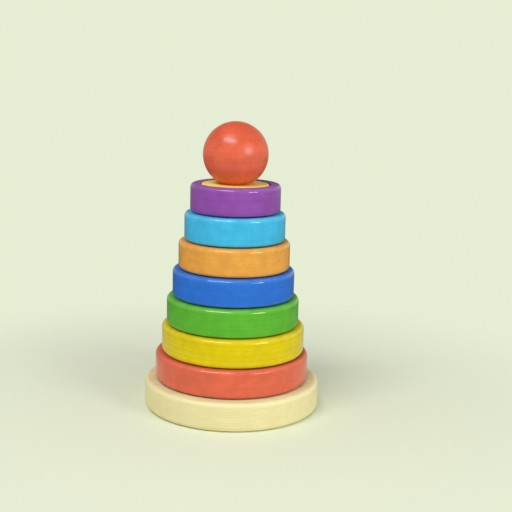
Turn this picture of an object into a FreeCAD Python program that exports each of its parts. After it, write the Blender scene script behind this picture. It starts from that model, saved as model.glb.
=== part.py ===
import FreeCAD, Part
import os
import Sketcher
from FreeCAD import Vector

# A wooden stacking tower: a round base with one thick post, seven rings that get smaller from
# bottom to top, and a ball that plugs into the post. Millimetres, +Z up, with the origin at the
# centre of the base's underside. Every piece is round about the Z axis.

# Driving dimensions: alias, value, what it is.
SIZES = [
    ("base_diameter", 112, "raw wood disc that everything stands on"),
    ("base_thickness", 18, "height of the disc"),
    ("base_edge_round", 3, "rounding of the disc's two outer edges"),
    ("post_diameter", 43, "thick dowel that the rings drop over"),
    ("post_edge_round", 1.2, "rounding of the post's top edge"),
    ("post_drop", 0.3, "how far the post's top lies below the top ring's face"),
    ("tenon_diameter", 24, "turned spigot under the post, glued in the base"),
    ("tenon_length", 10, "length of the spigot"),
    ("tenon_chamfer", 1, "lead-in at the spigot's end"),
    ("glue_gap", 0.1, "gap round and under a glued spigot or dowel"),
    ("ring_count", 7, "number of rings"),
    ("ring_thickness", 18, "height of every ring"),
    ("ring_largest", 98, "outer diameter of the bottom ring"),
    ("ring_smallest", 57, "outer diameter of the top ring"),
    ("ring_bore", 44.6, "hole in every ring, wider than the post and the ball"),
    ("ring_edge_round", 2.6, "rounding of a ring's outer edges"),
    ("bore_edge_round", 0.8, "rounding of a ring's inner edges"),
    ("ball_diameter", 41, "a little less than the post, so that the rings pass over the ball"),
    ("ball_flat", 18, "diameter of the flat that the ball stands on"),
    ("peg_diameter", 10, "dowel that is glued in the ball and drops into the post"),
    ("peg_length", 27, "whole length of that dowel"),
    ("peg_in_ball", 14, "length of the dowel inside the ball"),
    ("peg_chamfer", 1, "bevel at both ends of the dowel"),
    ("socket_diameter", 10.8, "loose socket for the dowel in the post's top"),
    ("socket_depth", 14.5, "depth of that socket"),
    ("screw_head_diameter", 9, "countersunk wood screw that holds the post on the base"),
    ("screw_diameter", 4.5, "outer diameter of the screw's thread"),
    ("screw_core_diameter", 3, "pilot hole in the post that the thread bites round"),
    ("screw_length", 38, "from the flat of the head to the tip"),
    ("screw_tip", 4, "length of the screw's point"),
    ("screw_recess", 0.8, "how far the head lies above the base's underside"),
    ("screw_hole_diameter", 5, "clearance hole in the base"),
    ("drive_width", 1.1, "width of the cross slots in the head"),
    ("drive_span", 5, "length of each cross slot"),
    ("drive_depth", 1.8, "depth of the cross slots"),
]

# The rings from bottom to top, each with the distance in +X by which it rests off the post's
# centre line, inside the play that its bore leaves.
RINGS = [
    ("ring_red", -0.3),
    ("ring_yellow", 0.3),
    ("ring_green", -0.1),
    ("ring_blue", 0),
    ("ring_orange", 0.2),
    ("ring_light_blue", 0.3),
    ("ring_purple", 0.35),
]

doc = FreeCAD.newDocument("stacking_tower")
sheet = doc.addObject("Spreadsheet::Sheet", "Sizes")
pieces = []


def fill_sheet():
    """Put every driving dimension, and each ring's sideways rest, in the sheet as a named cell."""
    rows = SIZES + [(name + "_rest", shift, "sideways rest of " + name) for name, shift in RINGS]
    for row, (alias, value, meaning) in enumerate(rows, start=1):
        sheet.set(f"A{row}", meaning)
        sheet.set(f"B{row}", str(value))
        sheet.setAlias(f"B{row}", alias)
    doc.recompute()


def new_body(label, height="0", sideways="0"):
    """A body whose file and node take the label, standing at the given height on the Z axis."""
    body = doc.addObject("PartDesign::Body", "Body_" + label)
    body.Label = label
    body.setExpression("Placement.Base.z", height)
    body.setExpression("Placement.Base.x", sideways)
    pieces.append(body)
    return body


def new_sketch(body, name, role, offset="0"):
    """A sketch on one of the body's own origin planes, moved along that plane's normal."""
    plane = next(item for item in body.Origin.OriginFeatures if item.Role == role)
    sketch = body.newObject("Sketcher::SketchObject", name)
    sketch.AttachmentSupport = [(plane, "")]
    sketch.MapMode = "FlatFace"
    sketch.setExpression("AttachmentOffset.Base.z", offset)
    return sketch


def circles(body, name, diameters, offset="0"):
    """A flat sketch of circles about the axis, one for each diameter expression."""
    sketch = new_sketch(body, name, "XY_Plane", offset)
    for number, diameter in enumerate(diameters):
        start_radius = 10 * (number + 1)
        curve = Part.Circle(Vector(0, 0, 0), Vector(0, 0, 1), start_radius)
        circle = sketch.addGeometry(curve, False)
        sketch.addConstraint(Sketcher.Constraint("Coincident", circle, 3, -1, 1))
        size = sketch.addConstraint(Sketcher.Constraint("Diameter", circle, 2 * start_radius))
        sketch.setExpression(f"Constraints[{size}]", diameter)
    return sketch


def outline(body, name, points):
    """A closed outline in the XZ plane. Each point is a pair of lengths and expressions, and a
    length of zero holds that point on the axis itself."""
    sketch = new_sketch(body, name, "XZ_Plane")
    corners = [Vector(across, up, 0) for (across, _), (up, _) in points]
    for first, second in zip(corners, corners[1:] + corners[:1]):
        sketch.addGeometry(Part.LineSegment(first, second), False)
    for index, ((across, across_size), (up, up_size)) in enumerate(points):
        before = (index - 1) % len(points)
        sketch.addConstraint(Sketcher.Constraint("Coincident", before, 2, index, 1))
        hold(sketch, "DistanceX", index, across, across_size, axis=-2)
        hold(sketch, "DistanceY", index, up, up_size, axis=-1)
    return sketch


def hold(sketch, kind, line, length, size, axis):
    """Hold the first point of a line at a length from the origin, or on an axis where it is 0."""
    if length == 0:
        sketch.addConstraint(Sketcher.Constraint("PointOnObject", line, 1, axis))
        return
    number = sketch.addConstraint(Sketcher.Constraint(kind, -1, 1, line, 1, length))
    sketch.setExpression(f"Constraints[{number}]", size)


def extrude(body, kind, name, sketch, length, backwards=False):
    """Add a Pad or a Pocket, and stop if it left the volume as it was."""
    volume = 0 if body.Tip is None else body.Shape.Volume
    feature = body.newObject("PartDesign::" + kind, name)
    feature.Profile = sketch
    feature.setExpression("Length", length)
    feature.Reversed = backwards
    doc.recompute()
    if abs(feature.Shape.Volume - volume) < 1:
        raise RuntimeError(f"{body.Label}: {name} changed nothing")
    return feature


def ease(body, kind, name, sized_edges, size):
    """Add a Fillet or a Chamfer on circular edges, given as (radius, height) in the body."""
    base = body.Tip
    wanted = []
    for number, edge in enumerate(base.Shape.Edges, start=1):
        if not isinstance(edge.Curve, Part.Circle):
            continue
        radius = edge.Curve.Radius
        height = edge.Curve.Center.z
        if any(abs(radius - r) < 0.01 and abs(height - z) < 0.01 for r, z in sized_edges):
            wanted.append(f"Edge{number}")
    if len(wanted) != len(sized_edges):
        raise RuntimeError(f"{body.Label}: {name} found {len(wanted)} edges")
    feature = body.newObject("PartDesign::" + kind, name)
    feature.Base = (base, wanted)
    feature.setExpression("Radius" if kind == "Fillet" else "Size", size)
    doc.recompute()
    return feature


def build_base():
    """The disc: rounded outside, with a socket for the spigot and a countersunk screw hole."""
    body = new_body("base")
    extrude(body, "Pad", "BaseDisc", circles(body, "BaseRim", ["Sizes.base_diameter"]),
            "Sizes.base_thickness")
    rim = sheet.base_diameter / 2
    ease(body, "Fillet", "BaseRounding", [(rim, 0), (rim, sheet.base_thickness)],
         "Sizes.base_edge_round")
    socket = circles(body, "SpigotSocketRim", ["Sizes.tenon_diameter + 2 * Sizes.glue_gap"],
                     "Sizes.base_thickness")
    extrude(body, "Pocket", "SpigotSocket", socket, "Sizes.tenon_length + Sizes.glue_gap")
    hole = circles(body, "ScrewHoleRim", ["Sizes.screw_hole_diameter"])
    extrude(body, "Pocket", "ScrewHole", hole, "Sizes.base_thickness", backwards=True)
    ease(body, "Chamfer", "Countersink", [(sheet.screw_hole_diameter / 2, 0)],
         "(Sizes.screw_head_diameter - Sizes.screw_hole_diameter) / 2 + Sizes.screw_recess")


def build_post():
    """The dowel: a spigot below, a pilot hole up the spigot and a socket in the top."""
    height = "Sizes.ring_count * Sizes.ring_thickness - Sizes.post_drop"
    height_now = sheet.ring_count * sheet.ring_thickness - sheet.post_drop
    body = new_body("post", height="Sizes.base_thickness")
    extrude(body, "Pad", "Dowel", circles(body, "DowelRim", ["Sizes.post_diameter"]), height)
    spigot = circles(body, "SpigotRim", ["Sizes.tenon_diameter"])
    extrude(body, "Pad", "Spigot", spigot, "Sizes.tenon_length", backwards=True)
    ease(body, "Fillet", "TopRounding", [(sheet.post_diameter / 2, height_now)],
         "Sizes.post_edge_round")
    ease(body, "Chamfer", "SpigotLeadIn", [(sheet.tenon_diameter / 2, -sheet.tenon_length)],
         "Sizes.tenon_chamfer")
    pilot = circles(body, "PilotRim", ["Sizes.screw_core_diameter"], "-Sizes.tenon_length")
    extrude(body, "Pocket", "PilotHole", pilot,
            "Sizes.screw_length + Sizes.screw_recess + Sizes.tenon_length - Sizes.base_thickness",
            backwards=True)
    socket = circles(body, "PegSocketRim", ["Sizes.socket_diameter"], height)
    extrude(body, "Pocket", "PegSocket", socket, "Sizes.socket_depth")


def build_screw():
    """The wood screw, head down: cone under a flat head, thread envelope, point, cross slots."""
    body = new_body("base_screw", height="Sizes.screw_recess")
    head = sheet.screw_head_diameter / 2
    shank = sheet.screw_diameter / 2
    cone_top = head - shank
    shoulder = sheet.screw_length - sheet.screw_tip
    head_size = "Sizes.screw_head_diameter / 2"
    shank_size = "Sizes.screw_diameter / 2"
    profile = outline(body, "ScrewOutline", [
        ((0, None), (0, None)),
        ((head, head_size), (0, None)),
        ((shank, shank_size), (cone_top, head_size + " - " + shank_size)),
        ((shank, shank_size), (shoulder, "Sizes.screw_length - Sizes.screw_tip")),
        ((0, None), (sheet.screw_length, "Sizes.screw_length")),
    ])
    turned = body.newObject("PartDesign::Revolution", "TurnedScrew")
    turned.Profile = profile
    turned.ReferenceAxis = (profile, ["V_Axis"])
    turned.Angle = 360
    doc.recompute()
    slot = new_sketch(body, "SlotOutline", "XY_Plane")
    half_span = sheet.drive_span / 2
    half_width = sheet.drive_width / 2
    corners = [
        Vector(-half_span, -half_width, 0),
        Vector(half_span, -half_width, 0),
        Vector(half_span, half_width, 0),
        Vector(-half_span, half_width, 0),
    ]
    for first, second in zip(corners, corners[1:] + corners[:1]):
        slot.addGeometry(Part.LineSegment(first, second), False)
    for line in range(4):
        slot.addConstraint(Sketcher.Constraint("Coincident", line, 2, (line + 1) % 4, 1))
        direction = "Horizontal" if line % 2 == 0 else "Vertical"
        slot.addConstraint(Sketcher.Constraint(direction, line))
    slot.addConstraint(Sketcher.Constraint("Symmetric", 0, 1, 2, 1, -1, 1))
    span = slot.addConstraint(Sketcher.Constraint("DistanceX", 0, 1, 0, 2, 2 * half_span))
    slot.setExpression(f"Constraints[{span}]", "Sizes.drive_span")
    width = slot.addConstraint(Sketcher.Constraint("DistanceY", 1, 1, 1, 2, 2 * half_width))
    slot.setExpression(f"Constraints[{width}]", "Sizes.drive_width")
    first_slot = extrude(body, "Pocket", "FirstSlot", slot, "Sizes.drive_depth", backwards=True)
    cross = body.newObject("PartDesign::PolarPattern", "CrossSlots")
    cross.Originals = [first_slot]
    cross.Axis = (slot, ["N_Axis"])
    cross.Angle = 90
    cross.Occurrences = 2
    body.Tip = cross
    doc.recompute()


def build_ring(level, label):
    """One ring: a thick washer with rounded edges, resting on the one below it."""
    diameter = ("Sizes.ring_largest"
                f" - {level} * (Sizes.ring_largest - Sizes.ring_smallest) / (Sizes.ring_count - 1)")
    body = new_body(label, height=f"Sizes.base_thickness + {level} * Sizes.ring_thickness",
                    sideways=f"Sizes.{label}_rest")
    washer = circles(body, "Rims_" + label, [diameter, "Sizes.ring_bore"])
    extrude(body, "Pad", "Washer_" + label, washer, "Sizes.ring_thickness")
    step = (sheet.ring_largest - sheet.ring_smallest) / (sheet.ring_count - 1)
    heights = (0, sheet.ring_thickness)
    rim = (sheet.ring_largest - level * step) / 2
    ease(body, "Fillet", "OuterRounding_" + label, [(rim, height) for height in heights],
         "Sizes.ring_edge_round")
    bore = sheet.ring_bore / 2
    ease(body, "Fillet", "BoreRounding_" + label, [(bore, height) for height in heights],
         "Sizes.bore_edge_round")


def build_ball():
    """The ball: a sphere cut off flat below and drilled upwards for its dowel."""
    below_centre = "sqrt((Sizes.ball_diameter / 2) ^ 2 - (Sizes.ball_flat / 2) ^ 2)"
    sphere = doc.addObject("Part::Sphere", "BallSphere")
    sphere.setExpression("Radius", "Sizes.ball_diameter / 2")
    sphere.setExpression("Angle1", "-acos(Sizes.ball_flat / Sizes.ball_diameter)")
    drill = doc.addObject("Part::Cylinder", "BallDrill")
    drill.setExpression("Radius", "Sizes.peg_diameter / 2 + Sizes.glue_gap")
    drill.setExpression("Height", "Sizes.peg_in_ball + Sizes.glue_gap")
    drill.setExpression("Placement.Base.z", "-" + below_centre)
    ball = doc.addObject("Part::Cut", "DrilledBall")
    ball.Label = "ball"
    ball.Base = sphere
    ball.Tool = drill
    ball.setExpression("Placement.Base.z", f"{POST_TOP} + {below_centre}")
    pieces.append(ball)


def build_peg():
    """The dowel under the ball, bevelled at both ends. Its body stands at the ball's flat."""
    below = "Sizes.peg_length - Sizes.peg_in_ball"
    below_now = sheet.peg_length - sheet.peg_in_ball
    body = new_body("ball_peg", height=POST_TOP)
    rim = circles(body, "PegRim", ["Sizes.peg_diameter"], f"-({below})")
    extrude(body, "Pad", "PegDowel", rim, "Sizes.peg_length")
    radius = sheet.peg_diameter / 2
    ease(body, "Chamfer", "PegBevels", [(radius, -below_now), (radius, sheet.peg_in_ball)],
         "Sizes.peg_chamfer")


def check_and_write():
    """Stop if any object failed or any piece isn't a valid solid, then write one file a piece."""
    doc.recompute()
    for item in doc.Objects:
        if "Invalid" in item.State or "Error" in item.State:
            raise RuntimeError(f"{item.Label} failed: {item.State}")
    os.makedirs("parts", exist_ok=True)
    for piece in pieces:
        shape = piece.Shape
        if shape.isNull() or not shape.isValid() or len(shape.Solids) != 1:
            raise RuntimeError(f"{piece.Label} is not one valid solid")
        shape.exportStep(os.path.join("parts", piece.Label + ".step"))
        box = shape.BoundBox
        print(f"{piece.Label}: {shape.Volume / 1000:.1f} cm3, z {box.ZMin:.2f} to {box.ZMax:.2f}")


POST_TOP = ("Sizes.base_thickness + Sizes.ring_count * Sizes.ring_thickness"
            " - Sizes.post_drop")

fill_sheet()
build_base()
build_post()
build_screw()
for level, (label, _) in enumerate(RINGS):
    build_ring(level, label)
build_ball()
build_peg()
check_and_write()
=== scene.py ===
import math
from collections import namedtuple

import bmesh
import bpy
from mathutils import Matrix, Vector


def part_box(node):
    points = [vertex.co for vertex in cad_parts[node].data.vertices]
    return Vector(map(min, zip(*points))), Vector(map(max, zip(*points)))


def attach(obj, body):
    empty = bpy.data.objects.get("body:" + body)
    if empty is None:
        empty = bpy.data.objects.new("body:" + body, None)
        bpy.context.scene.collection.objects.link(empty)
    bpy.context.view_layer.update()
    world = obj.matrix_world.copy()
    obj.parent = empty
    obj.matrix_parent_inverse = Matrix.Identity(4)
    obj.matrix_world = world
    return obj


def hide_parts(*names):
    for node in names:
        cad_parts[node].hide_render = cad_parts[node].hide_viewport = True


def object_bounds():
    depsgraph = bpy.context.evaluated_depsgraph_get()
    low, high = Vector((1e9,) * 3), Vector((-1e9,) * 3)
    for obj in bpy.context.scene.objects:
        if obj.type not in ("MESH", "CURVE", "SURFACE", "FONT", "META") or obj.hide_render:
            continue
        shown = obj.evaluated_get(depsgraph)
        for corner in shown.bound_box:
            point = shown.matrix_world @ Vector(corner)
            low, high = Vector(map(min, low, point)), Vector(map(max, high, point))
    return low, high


# A wooden ring-stacking tower on a pale floor. Metres, +Z up, with the origin under the middle of
# the base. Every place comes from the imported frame; the numbers below are the look's own.

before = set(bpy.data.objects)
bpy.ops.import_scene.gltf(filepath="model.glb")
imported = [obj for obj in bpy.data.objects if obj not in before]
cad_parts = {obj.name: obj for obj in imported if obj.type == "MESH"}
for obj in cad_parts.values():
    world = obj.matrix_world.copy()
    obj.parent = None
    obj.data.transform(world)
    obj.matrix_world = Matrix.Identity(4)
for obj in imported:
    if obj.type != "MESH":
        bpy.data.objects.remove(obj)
bpy.context.view_layer.update()
cad_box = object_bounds()

# Camera: where it stands from the post's axis, how it is tilted and rolled, and how far its lens
# is shifted to put the toy a little left of the middle.
CAMERA_DISTANCE = 0.6377
CAMERA_HEIGHT = 0.2265
CAMERA_LENS = 71.92
CAMERA_TILT = math.radians(11.45)
CAMERA_ROLL = math.radians(1.12)
CAMERA_SHIFT = 0.0433

# Colours as linear red, green, blue. A ring's paint covers it all over and lies thin in the bore; its
# upper edges are paler, partly worn thin and partly a painted highlight, and its lower edges are
# darkened with painted shade.
RINGS = {
    "ring_red": (0.685, 0.126, 0.064),
    "ring_yellow": (0.695, 0.556, 0.0002),
    "ring_green": (0.107, 0.438, 0.034),
    "ring_blue": (0.028, 0.164, 0.642),
    "ring_orange": (0.735, 0.351, 0.063),
    "ring_light_blue": (0.054, 0.455, 0.733),
    "ring_purple": (0.248, 0.071, 0.351),
}
BALL_RED = (0.675, 0.109, 0.047)
SHOWING_WOOD = (0.93, 0.84, 0.66)
RAW_WOOD = (0.80, 0.745, 0.415)
RAW_WOOD_DARK = (0.69, 0.57, 0.27)
OILED_WOOD = (0.97, 0.83, 0.18)
OILED_WOOD_DARK = (0.88, 0.64, 0.11)
PEG_WOOD = (0.74, 0.58, 0.33)
PEG_WOOD_DARK = (0.55, 0.38, 0.19)
ZINC = (0.66, 0.64, 0.58)
ZINC_DULL = (0.47, 0.45, 0.41)
FLOOR = (0.78, 0.84, 0.665)
BACKDROP = (0.79, 0.85, 0.66)
DIM_ROOM = (0.16, 0.16, 0.16)
FILL = (1.0, 0.97, 0.95)

# Rounded edges of the CAD pieces, and how far a ring's bore stands off the post.
RING_EDGE = 0.0026
BORE_EDGE = 0.0008
BASE_EDGE = 0.0030
POST_EDGE = 0.0012
BORE_PLAY = 0.0008

# Thin paint in the bores and on upper edges: how much of the wood shows through it, and how much
# of an upper edge is paler, as worn-thin paint and as a painted highlight.
THIN_SHARE = 0.16
WEAR_AND_HIGHLIGHT_SHARE = 0.40

# Painted shade along a ring's lower edge, where it meets the ring below: how high it is full, where
# it has faded out, and how dark it is.
PAINTED_SHADE_HEIGHT = 0.0007
PAINTED_SHADE_FADE = 0.0013
PAINTED_SHADE_TONE = 0.16

# The gloss of the paint: how white its reflections are, how rough it is, and its refraction index.
# Below a white share of 1 they lean to the paint's own hue, and above it to the opposite one.
RING_GLOSS = (0.46, 0.085, 1.62)
BALL_GLOSS = (2.5, 0.31, 1.50)

# Flat faces are dull. Their dullness starts this far below the face and is full this near to it.
FACE_ROUGHNESS = 0.62
FACE_START = 0.0008
FACE_FULL = 0.0002

# How a piece lies in the board that it was cut from: its turn, the place beside it where the
# tree's pith runs, and the distance between growth rings.
UPRIGHT = (0.0, math.radians(90), 0.3)
BASE_BOARD = ((0.010, 0.006, 0.05), (0.0, 0.003, -0.24), 0.0017)
POST_BOARD = (UPRIGHT, (0.0, 0.026, 0.012), 0.0021)
PEG_BOARD = (UPRIGHT, (0.0, 0.012, 0.02), 0.0016)
BALL_TURN = (0.4, 0.2, 0.7)
PAINTED_PITH = (0.0, 0.02, -0.09)
PAINTED_SPACING = 0.0024

# The finish of bare wood: the tint of its reflections, and how rough it is.
RAW_FINISH = ((1.0, 1.0, 0.9), 0.58)
OILED_FINISH = ((1.0, 0.90, 0.40), 0.30)
PEG_FINISH = ((1.0, 1.0, 1.0), 0.62)

# The wood screw: its smooth neck and the level where that ends, its thread, the share of a pitch
# that a flank takes, its point, and the cross slot that narrows upwards. The dowel's flutes and
# bevels.
SCREW_NECK_RADIUS = 0.00225
SCREW_NECK_END = 0.013
SCREW_CORE_RADIUS = 0.0015
SCREW_PITCH = 0.0020
THREAD_FLANK = 0.3
SCREW_POINT = 0.0040
DRIVE_SPAN = 0.0050
DRIVE_WIDTH = 0.0011
DRIVE_DEPTH = 0.0018
DRIVE_TAPER = 0.6
CUT_MARGIN = 0.0002
FLUTE_COUNT = 20
FLUTE_DEPTH = 0.00035
PEG_BEVEL = 0.0010

# The studio. A softbox has a width and height, a power, a direction from the toy and a colour. The
# room's fill light is strong near the floor and weak overhead, and what surfaces mirror of the room
# is dimmer at its left.
SOFTBOXES = {
    "left_softbox": ((0.72, 0.28), 7.0, (-0.31, -0.475, 0.80), (1.0, 0.96, 0.97)),
    "right_softbox": ((0.42, 0.30), 4.3, (0.70, -0.66, 0.32), (1.0, 1.0, 0.93)),
}
SOFTBOX_DISTANCE = 1.1
AIM_HEIGHT_SHARE = 0.6
LOW_FILL = 0.925
OVERHEAD_FILL = 0.38
MIRRORED_LEFT = 0.36
MIRRORED_RIGHT = 0.74

# The floor: half its width, how far it lies under the toy, and where it starts and ends to fade.
FLOOR_HALF = 2.0
FLOOR_DROP = 0.0002
FLOOR_FADE = (0.07, 0.30)

# A round piece: its centre, radius and lowest and highest level, and the sockets that say how far
# a point lies from its axis and how high it is.
Shape = namedtuple("Shape", "centre radius low high reach height")


def node(tree, kind, inputs=None, **settings):
    """Add a shader node, with its settings and with values or links for its inputs."""
    made = tree.nodes.new(kind)
    for name, value in settings.items():
        setattr(made, name, value)
    for name, value in (inputs or {}).items():
        socket = made.inputs[name]
        if isinstance(value, bpy.types.NodeSocket):
            tree.links.new(value, socket)
        else:
            socket.default_value = value
    return made


def math_node(tree, operation, first, second=0.0):
    """The result of one sum on numbers or sockets."""
    return node(tree, "ShaderNodeMath", {0: first, 1: second}, operation=operation).outputs[0]


def ramp(tree, value, low, high, start=0.0, end=1.0):
    """Map a value smoothly from the range low..high onto start..end."""
    inputs = {"Value": value, "From Min": low, "From Max": high, "To Min": start, "To Max": end}
    return node(tree, "ShaderNodeMapRange", inputs, interpolation_type="SMOOTHSTEP").outputs[0]


def blend(tree, share, first, second):
    """Mix two colours, given as tuples or sockets."""
    mix = node(tree, "ShaderNodeMix", {0: share}, data_type="RGBA")
    for socket, colour in ((mix.inputs[6], first), (mix.inputs[7], second)):
        if isinstance(colour, bpy.types.NodeSocket):
            tree.links.new(colour, socket)
        else:
            socket.default_value = (*colour, 1)
    return mix.outputs[2]


def scaled(colour, factor):
    """A lighter or darker tone of a colour, no brighter than a surface can be."""
    return tuple(min(1.0, factor * c) for c in colour)


def noise(tree, place, scale, detail=2.0, roughness=0.5):
    """A noise value at a place, with features of about 1/scale metres."""
    inputs = {"Vector": place, "Scale": scale, "Detail": detail, "Roughness": roughness}
    return node(tree, "ShaderNodeTexNoise", inputs).outputs[0]


def new_material(name):
    """An empty material with its Principled shader."""
    material = bpy.data.materials.new(name)
    material.use_nodes = True
    tree = material.node_tree
    tree.nodes.clear()
    shader = node(tree, "ShaderNodeBsdfPrincipled")
    output = node(tree, "ShaderNodeOutputMaterial")
    tree.links.new(shader.outputs[0], output.inputs[0])
    return material, tree, shader


def bump(tree, height, distance, normal=None):
    """Raise the surface by height times distance, in metres."""
    inputs = {"Height": height, "Distance": distance, "Strength": 1.0}
    if normal is not None:
        inputs["Normal"] = normal
    return node(tree, "ShaderNodeBump", inputs).outputs[0]


def board_place(tree, centre, turn):
    """The point's place in the board that the piece was cut from, with X along the grain."""
    place = node(tree, "ShaderNodeTexCoord").outputs["Object"]
    moved = node(tree, "ShaderNodeVectorMath", {0: place, 1: centre}, operation="SUBTRACT")
    mapped = node(tree, "ShaderNodeMapping", {"Vector": moved.outputs[0]}, vector_type="POINT")
    mapped.inputs["Rotation"].default_value = turn
    return mapped.outputs[0]


def along_grain(tree, place, squeeze):
    """The place shortened along the grain, so that a pattern made from it is drawn out along it."""
    inputs = {0: place, 1: (squeeze, 1.0, 1.0)}
    return node(tree, "ShaderNodeVectorMath", inputs, operation="MULTIPLY").outputs[0]


def growth_rings(tree, place, pith, spacing):
    """Growth rings of the tree round its pith: 0 in the pale early wood, rising to 1 at each
    ring's dark late wood. The pith runs along the grain at the given place beside the board."""
    drawn = along_grain(tree, place, 0.12)
    sway = node(tree, "ShaderNodeTexNoise", {"Vector": drawn, "Scale": 22.0, "Detail": 2.0})
    centred = node(tree, "ShaderNodeVectorMath", {0: sway.outputs[1], 1: (0.5, 0.5, 0.5)},
                   operation="SUBTRACT")
    swayed = node(tree, "ShaderNodeVectorMath",
                  {0: centred.outputs[0], 1: (0.012, 0.012, 0.012), 2: drawn},
                  operation="MULTIPLY_ADD")
    from_pith = node(tree, "ShaderNodeVectorMath", {0: swayed.outputs[0], 1: pith},
                     operation="SUBTRACT")
    # A wave of scale 1 along a radius repeats every pi / 10 metres.
    inputs = {"Vector": from_pith.outputs[0], "Scale": math.pi / 10 / spacing, "Distortion": 0.6,
              "Detail": 2.0, "Detail Scale": 2.0}
    return node(tree, "ShaderNodeTexWave", inputs, wave_type="RINGS", rings_direction="X",
                wave_profile="SAW").outputs[1]


def shape_of(tree, piece):
    """A round piece's shape, for materials that change over it."""
    low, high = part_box(piece)
    centre = (low + high) / 2
    place = node(tree, "ShaderNodeTexCoord").outputs["Object"]
    moved = node(tree, "ShaderNodeVectorMath", {0: place, 1: centre}, operation="SUBTRACT")
    flat = node(tree, "ShaderNodeVectorMath", {0: moved.outputs[0], 1: (1.0, 1.0, 0.0)},
                operation="MULTIPLY")
    reach = node(tree, "ShaderNodeVectorMath", {0: flat.outputs[0]}, operation="LENGTH")
    height = node(tree, "ShaderNodeSeparateXYZ", {0: place}).outputs[2]
    return Shape(centre, (high.x - low.x) / 2, low.z, high.z, reach.outputs["Value"], height)


def rim_mask(tree, shape, level, edge):
    """1 along the middle of a rounded edge, and 0 off it. The rounding ends at the given level. It
    is positive on an upper edge and negative on a lower one."""
    outwards = ramp(tree, shape.reach, shape.radius - abs(edge), shape.radius)
    upwards = ramp(tree, shape.height, level - edge, level)
    return ramp(tree, math_node(tree, "MULTIPLY", outwards, upwards), 0.25, 0.62)


def dulled(tree, shape, rough):
    """The roughness, raised on the flat faces: rings rub each other there, and end grain soaks up
    its finish."""
    from_middle = math_node(tree, "SUBTRACT", shape.height, (shape.low + shape.high) / 2)
    half = (shape.high - shape.low) / 2
    face = ramp(tree, math_node(tree, "ABSOLUTE", from_middle), half - FACE_START, half - FACE_FULL,
                0.0, FACE_ROUGHNESS)
    return math_node(tree, "MAXIMUM", rough, face)


def paint_wear_and_painted_light(tree, shape, colour, paint, mottle, fibres):
    """A ring's paint: thin in the bore, worn thin and painted as a highlight on the upper edge, and
    painted shade along the lower edge.
    """
    thin = tuple((1 - THIN_SHARE) * c + THIN_SHARE * wood for c, wood in zip(paint, SHOWING_WOOD))
    # The upper edge turns paler: partly worn-thin paint, partly a painted highlight along the
    # rounding.
    rim = rim_mask(tree, shape, shape.high, RING_EDGE)
    wear_and_highlight = math_node(tree, "MULTIPLY", rim, ramp(tree, mottle, 0.32, 0.60, 0.4, 1.0))
    colour = blend(tree, math_node(tree, "MULTIPLY", wear_and_highlight, WEAR_AND_HIGHLIGHT_SHARE), colour, thin)
    post_low, post_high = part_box("post")
    bore = (post_high.x - post_low.x) / 2 + BORE_PLAY
    inside = math_node(tree, "MULTIPLY", ramp(tree, shape.reach, bore + BORE_EDGE, bore),
                       ramp(tree, fibres, 0.35, 0.6, 0.5, 1.0))
    colour = blend(tree, inside, colour, thin)
    # Painted shade: the lower edge darkens towards where it meets the ring below.
    side = shape.radius - RING_EDGE
    painted_shade = math_node(tree, "MULTIPLY",
                     ramp(tree, shape.height, shape.low + PAINTED_SHADE_FADE, shape.low + PAINTED_SHADE_HEIGHT),
                     ramp(tree, shape.reach, side - PAINTED_SHADE_FADE, side))
    return blend(tree, painted_shade, colour, scaled(paint, PAINTED_SHADE_TONE))


def painted_wood(name, piece, paint, turn, gloss, is_ring):
    """Glossy paint over turned wood: the grain and the lathe's marks tell through, and its skin is
    slightly uneven. On a ring it is worn, with a painted highlight on the upper edge and painted shade
    on the lower one, and dull on the flat faces."""
    material, tree, shader = new_material(name)
    shape = shape_of(tree, piece)
    board = board_place(tree, shape.centre, turn)
    rings = growth_rings(tree, board, PAINTED_PITH, PAINTED_SPACING)
    fibres = noise(tree, along_grain(tree, board, 0.05), 900, 4, 0.6)
    place = node(tree, "ShaderNodeTexCoord").outputs["Object"]
    mottle = noise(tree, place, 130, 4, 0.6)
    skin = noise(tree, place, 420, 2, 0.5)
    turned = node(tree, "ShaderNodeCombineXYZ", {0: shape.reach, 2: shape.height}).outputs[0]
    lathe = noise(tree, turned, 1100, 4, 0.7)
    shade = scaled(paint, 0.78)
    colour = blend(tree, ramp(tree, mottle, 0.35, 0.65), scaled(paint, 0.94), scaled(paint, 1.07))
    colour = blend(tree, ramp(tree, fibres, 0.46, 0.32, 0.0, 0.45), colour, shade)
    colour = blend(tree, ramp(tree, lathe, 0.52, 0.38, 0.0, 0.42), colour, shade)
    white_share, roughness, refraction = gloss
    rough = ramp(tree, mottle, 0.3, 0.7, 0.8 * roughness, 1.2 * roughness)
    if is_ring:
        colour = paint_wear_and_painted_light(tree, shape, colour, paint, mottle, fibres)
        rough = dulled(tree, shape, rough)
    tree.links.new(colour, shader.inputs["Base Color"])
    tree.links.new(rough, shader.inputs["Roughness"])
    tint = [white_share + (1 - white_share) * c / max(paint) for c in paint]
    shader.inputs["IOR"].default_value = refraction
    shader.inputs["Specular Tint"].default_value = (*(c / max(tint) for c in tint), 1)
    relief = bump(tree, rings, 0.000012)
    relief = bump(tree, fibres, 0.00003, relief)
    relief = bump(tree, lathe, 0.00002, relief)
    tree.links.new(bump(tree, skin, 0.00004, relief), shader.inputs["Normal"])
    return material


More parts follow.
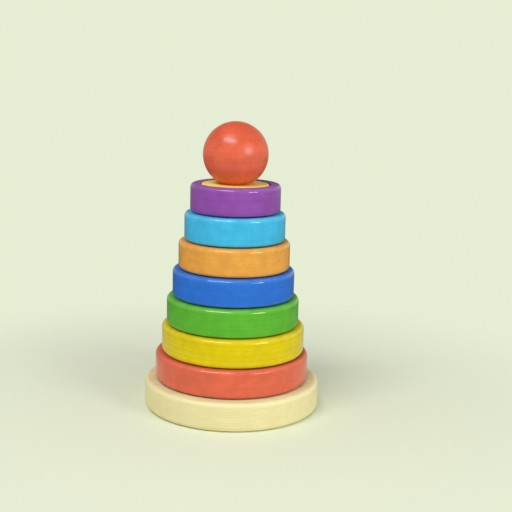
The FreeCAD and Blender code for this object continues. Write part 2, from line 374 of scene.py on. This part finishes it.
def bare_wood(name, piece, pale, dark, board, edge, finish):
    """Bare or oiled wood, with growth rings, drawn-out fibres, pores and rubbed edges."""
    material, tree, shader = new_material(name)
    shape = shape_of(tree, piece)
    turn, pith, spacing = board
    place = board_place(tree, shape.centre, turn)
    rings = growth_rings(tree, place, pith, spacing)
    fibres = noise(tree, along_grain(tree, place, 0.03), 1300, 5, 0.65)
    bands = noise(tree, along_grain(tree, place, 0.05), 190, 3, 0.6)
    pores = noise(tree, along_grain(tree, place, 0.16), 2600, 1, 0.4)
    colour = blend(tree, ramp(tree, bands, 0.36, 0.66, 0.0, 0.30), pale, dark)
    colour = blend(tree, ramp(tree, rings, 0.60, 1.0, 0.0, 0.42), colour, dark)
    colour = blend(tree, ramp(tree, fibres, 0.45, 0.30, 0.0, 0.40), colour, dark)
    colour = blend(tree, ramp(tree, pores, 0.30, 0.22, 0.0, 0.45), colour, scaled(dark, 0.62))
    rubbed = math_node(tree, "MAXIMUM", rim_mask(tree, shape, shape.high, edge),
                       rim_mask(tree, shape, shape.low, -edge))
    share = math_node(tree, "MULTIPLY", rubbed, ramp(tree, bands, 0.35, 0.6, 0.35, 0.8))
    brighter = tuple(min(1.0, 1.05 * c + 0.02) for c in pale)
    colour = blend(tree, share, colour, brighter)
    tree.links.new(colour, shader.inputs["Base Color"])
    tint, roughness = finish
    rough = ramp(tree, fibres, 0.3, 0.7, roughness + 0.05, roughness - 0.05)
    tree.links.new(dulled(tree, shape, rough), shader.inputs["Roughness"])
    shader.inputs["Specular Tint"].default_value = (*tint, 1)
    relief = bump(tree, rings, 0.00002)
    relief = bump(tree, fibres, 0.00005, relief)
    tree.links.new(bump(tree, pores, 0.00005, relief), shader.inputs["Normal"])
    return material


def zinc_plate(name):
    """Bright zinc on a steel screw, dulled in clouds."""
    material, tree, shader = new_material(name)
    place = node(tree, "ShaderNodeTexCoord").outputs["Object"]
    cloud = noise(tree, place, 600, 3, 0.6)
    colour = blend(tree, ramp(tree, cloud, 0.3, 0.7), ZINC, ZINC_DULL)
    tree.links.new(colour, shader.inputs["Base Color"])
    tree.links.new(ramp(tree, cloud, 0.3, 0.7, 0.28, 0.48), shader.inputs["Roughness"])
    shader.inputs["Metallic"].default_value = 1.0
    tree.links.new(bump(tree, cloud, 0.00002), shader.inputs["Normal"])
    return material


def dress(name, material):
    """Give a CAD node its material."""
    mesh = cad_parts[name].data
    mesh.materials.clear()
    mesh.materials.append(material)


def dress_all():
    """Every piece's own material. Each ring comes from a board of its own, turned its own way."""
    for number, (name, paint) in enumerate(RINGS.items()):
        turn = (0.05 * math.sin(number), 0.04 * math.cos(number), 0.9 * number)
        dress(name, painted_wood(name + "_paint", name, paint, turn, RING_GLOSS, True))
    dress("ball", painted_wood("ball_paint", "ball", BALL_RED, BALL_TURN, BALL_GLOSS, False))
    dress("base", bare_wood("base_wood", "base", RAW_WOOD, RAW_WOOD_DARK, BASE_BOARD, BASE_EDGE,
                            RAW_FINISH))
    dress("post", bare_wood("post_wood", "post", OILED_WOOD, OILED_WOOD_DARK, POST_BOARD, POST_EDGE,
                            OILED_FINISH))


def closed_tube(columns, rows, place, climb=0):
    """A closed skin round the Z axis, where place(column, row) gives a radius and a height. The
    last column joins the first one climb rows further up, so that rows can run like a thread."""
    skin = bmesh.new()
    lines = []
    for column in range(columns):
        angle = 2 * math.pi * column / columns
        line = []
        for row in range(rows):
            radius, height = place(column, row)
            line.append(skin.verts.new((radius * math.cos(angle), radius * math.sin(angle), height)))
        lines.append(line)
    lines.append(lines[0][climb:])
    for left, right in zip(lines, lines[1:]):
        for row in range(len(right) - 1):
            skin.faces.new((left[row], right[row], right[row + 1], left[row + 1]))
    bmesh.ops.remove_doubles(skin, verts=skin.verts, dist=1e-7)
    bmesh.ops.holes_fill(skin, edges=[edge for edge in skin.edges if edge.is_boundary])
    bmesh.ops.recalc_face_normals(skin, faces=skin.faces)
    return skin


def cross_prism(low, high, span, width, taper):
    """A closed cross-shaped prism, which narrows upwards to the given share."""
    arms = []
    for quarter in range(4):
        turn = Matrix.Rotation(math.radians(90 * quarter), 3, "Z")
        for corner in ((span / 2, -width / 2, 0), (span / 2, width / 2, 0), (width / 2, width / 2, 0)):
            arms.append(turn @ Vector(corner))
    prism = bmesh.new()
    lower = [prism.verts.new((arm.x, arm.y, low)) for arm in arms]
    upper = [prism.verts.new((taper * arm.x, taper * arm.y, high)) for arm in arms]
    prism.faces.new(lower)
    prism.faces.new(upper)
    for index, corner in enumerate(lower):
        prism.faces.new((lower[index - 1], corner, upper[index], upper[index - 1]))
    bmesh.ops.recalc_face_normals(prism, faces=prism.faces)
    return prism


def new_piece(name, skin):
    """An object made from a bmesh, smooth but for its sharp edges."""
    mesh = bpy.data.meshes.new(name)
    skin.to_mesh(mesh)
    skin.free()
    mesh.shade_smooth()
    mesh.set_sharp_from_angle(angle=math.radians(35))
    piece = bpy.data.objects.new(name, mesh)
    bpy.context.scene.collection.objects.link(piece)
    return piece


def cut_away(piece, cutter):
    """Cut one object out of another for good."""
    cutting = piece.modifiers.new("cut", "BOOLEAN")
    cutting.object = cutter
    cutting.solver = "EXACT"
    bpy.context.view_layer.update()
    evaluated = piece.evaluated_get(bpy.context.evaluated_depsgraph_get())
    whole = bpy.data.meshes.new_from_object(evaluated)
    piece.modifiers.clear()
    piece.data = whole
    bpy.data.objects.remove(cutter)


def add_screw():
    """The wood screw under the base: countersunk cross-slot head, neck, thread and point."""
    low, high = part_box("base_screw")
    head_radius = (high.x - low.x) / 2
    climb = 8
    lift = SCREW_PITCH / climb
    columns = 32
    rows = math.ceil((high.z - low.z) / lift) + 2 * climb + 1

    def place(column, row):
        height = low.z + (row - climb) * lift + SCREW_PITCH * column / columns
        height = min(max(height, low.z), high.z)
        envelope = max(head_radius - (height - low.z), SCREW_NECK_RADIUS)
        envelope = min(envelope, SCREW_NECK_RADIUS * (high.z - height) / SCREW_POINT)
        if height < SCREW_NECK_END:
            return max(envelope, SCREW_NECK_RADIUS), height
        step = row % climb / climb
        ridge = max(0.0, 1 - min(step, 1 - step) / THREAD_FLANK)
        threaded = SCREW_CORE_RADIUS + (SCREW_NECK_RADIUS - SCREW_CORE_RADIUS) * ridge
        return min(envelope, threaded), height

    screw = new_piece("threaded_screw", closed_tube(columns, rows, place, climb))
    cross = cross_prism(low.z - CUT_MARGIN, low.z + DRIVE_DEPTH, DRIVE_SPAN, DRIVE_WIDTH, DRIVE_TAPER)
    cut_away(screw, new_piece("drive", cross))
    screw.data.materials.append(zinc_plate("screw_zinc"))
    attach(screw, "stand")
    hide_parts("base_screw")


def add_dowel():
    """The ball's dowel, fluted along its length and bevelled at both ends."""
    low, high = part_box("ball_peg")
    radius = (high.x - low.x) / 2
    columns_each = 6
    heights = (low.z, low.z + PEG_BEVEL, high.z - PEG_BEVEL, high.z)

    def place(column, row):
        if row in (0, len(heights) - 1):
            return radius - PEG_BEVEL, heights[row]
        hollow = 0.5 - 0.5 * math.cos(2 * math.pi * column / columns_each)
        return radius - FLUTE_DEPTH * hollow, heights[row]

    dowel = new_piece("fluted_dowel", closed_tube(FLUTE_COUNT * columns_each, len(heights), place))
    wood = bare_wood("peg_wood", "ball_peg", PEG_WOOD, PEG_WOOD_DARK, PEG_BOARD, PEG_BEVEL, PEG_FINISH)
    dowel.data.materials.append(wood)
    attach(dowel, "ball")
    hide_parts("ball_peg")


def add_softbox(name, size, power, direction, colour, target):
    """An area light of the given width and height that faces the target."""
    light = bpy.data.lights.new(name, "AREA")
    light.shape = "RECTANGLE"
    light.size, light.size_y = size
    light.energy = power
    light.color = colour
    lamp = bpy.data.objects.new(name, light)
    bpy.context.scene.collection.objects.link(lamp)
    lamp.location = target + Vector(direction).normalized() * SOFTBOX_DISTANCE
    lamp.rotation_euler = (target - lamp.location).to_track_quat("-Z", "Y").to_euler()


def light_scene():
    """Two softboxes, high at the left and lower at the right, in a pale room: soft fill light for
    the surfaces, paper at the horizon and a dimmer ceiling for what they mirror."""
    world = bpy.data.worlds.new("studio")
    world.use_nodes = True
    tree = world.node_tree
    tree.nodes.clear()
    aim = node(tree, "ShaderNodeTexCoord").outputs["Generated"]
    aside, _, climb = node(tree, "ShaderNodeSeparateXYZ", {0: aim}).outputs
    above = ramp(tree, climb, 0.25, 0.60)
    mirrored = blend(tree, above, BACKDROP, DIM_ROOM)
    mirrored = blend(tree, ramp(tree, climb, -0.05, -0.2), mirrored, DIM_ROOM)
    soft = ramp(tree, climb, -0.1, 0.7, LOW_FILL, OVERHEAD_FILL)
    fill = node(tree, "ShaderNodeBackground", {"Color": (*FILL, 1), "Strength": soft})
    dimmer = ramp(tree, aside, -0.9, 0.5, MIRRORED_LEFT, MIRRORED_RIGHT)
    room = node(tree, "ShaderNodeBackground", {"Color": mirrored, "Strength": dimmer})
    paper = node(tree, "ShaderNodeBackground", {"Color": (*BACKDROP, 1), "Strength": 1.0})
    rays = node(tree, "ShaderNodeLightPath").outputs
    unseen = node(tree, "ShaderNodeMixShader",
                  {0: rays["Is Glossy Ray"], 1: fill.outputs[0], 2: room.outputs[0]})
    both = node(tree, "ShaderNodeMixShader",
                {0: rays["Is Camera Ray"], 1: unseen.outputs[0], 2: paper.outputs[0]})
    node(tree, "ShaderNodeOutputWorld", {"Surface": both.outputs[0]})
    bpy.context.scene.world = world
    target = Vector((0, 0, cad_box[1].z * AIM_HEIGHT_SHARE))
    for name, (size, power, direction, colour) in SOFTBOXES.items():
        add_softbox(name, size, power, direction, colour, target)


def add_floor():
    """A pale floor under the toy, which fades into the surroundings away from it."""
    mesh = bpy.data.meshes.new("floor")
    corners = [(x * FLOOR_HALF, y * FLOOR_HALF, -FLOOR_DROP)
               for x, y in ((-1, -1), (1, -1), (1, 1), (-1, 1))]
    mesh.from_pydata(corners, [], [(0, 1, 2, 3)])
    floor = bpy.data.objects.new("floor", mesh)
    bpy.context.scene.collection.objects.link(floor)
    material, tree, shader = new_material("floor_paper")
    place = node(tree, "ShaderNodeTexCoord").outputs["Object"]
    cloud = noise(tree, place, 8, 2, 0.5)
    tree.links.new(blend(tree, cloud, FLOOR, scaled(FLOOR, 0.985)), shader.inputs["Base Color"])
    shader.inputs["Roughness"].default_value = 0.85
    shader.inputs["Specular IOR Level"].default_value = 0.2
    reach = node(tree, "ShaderNodeVectorMath", {0: place}, operation="LENGTH").outputs["Value"]
    tree.links.new(ramp(tree, reach, *FLOOR_FADE, 1.0, 0.0), shader.inputs["Alpha"])
    mesh.materials.append(material)


def add_camera():
    """The camera, a little above the ball and tilted down, with a slightly shifted lens."""
    data = bpy.data.cameras.new("camera")
    data.lens = CAMERA_LENS
    data.shift_x = CAMERA_SHIFT
    camera = bpy.data.objects.new("camera", data)
    bpy.context.scene.collection.objects.link(camera)
    level = math.radians(90)
    turned = Matrix.Rotation(level - CAMERA_TILT, 4, "X") @ Matrix.Rotation(CAMERA_ROLL, 4, "Z")
    camera.matrix_world = Matrix.Translation((0, -CAMERA_DISTANCE, CAMERA_HEIGHT)) @ turned
    bpy.context.scene.camera = camera


dress_all()
add_screw()
add_dowel()
light_scene()
add_floor()
add_camera()
bpy.context.scene.view_settings.view_transform = "Standard"

bpy.context.view_layer.update()
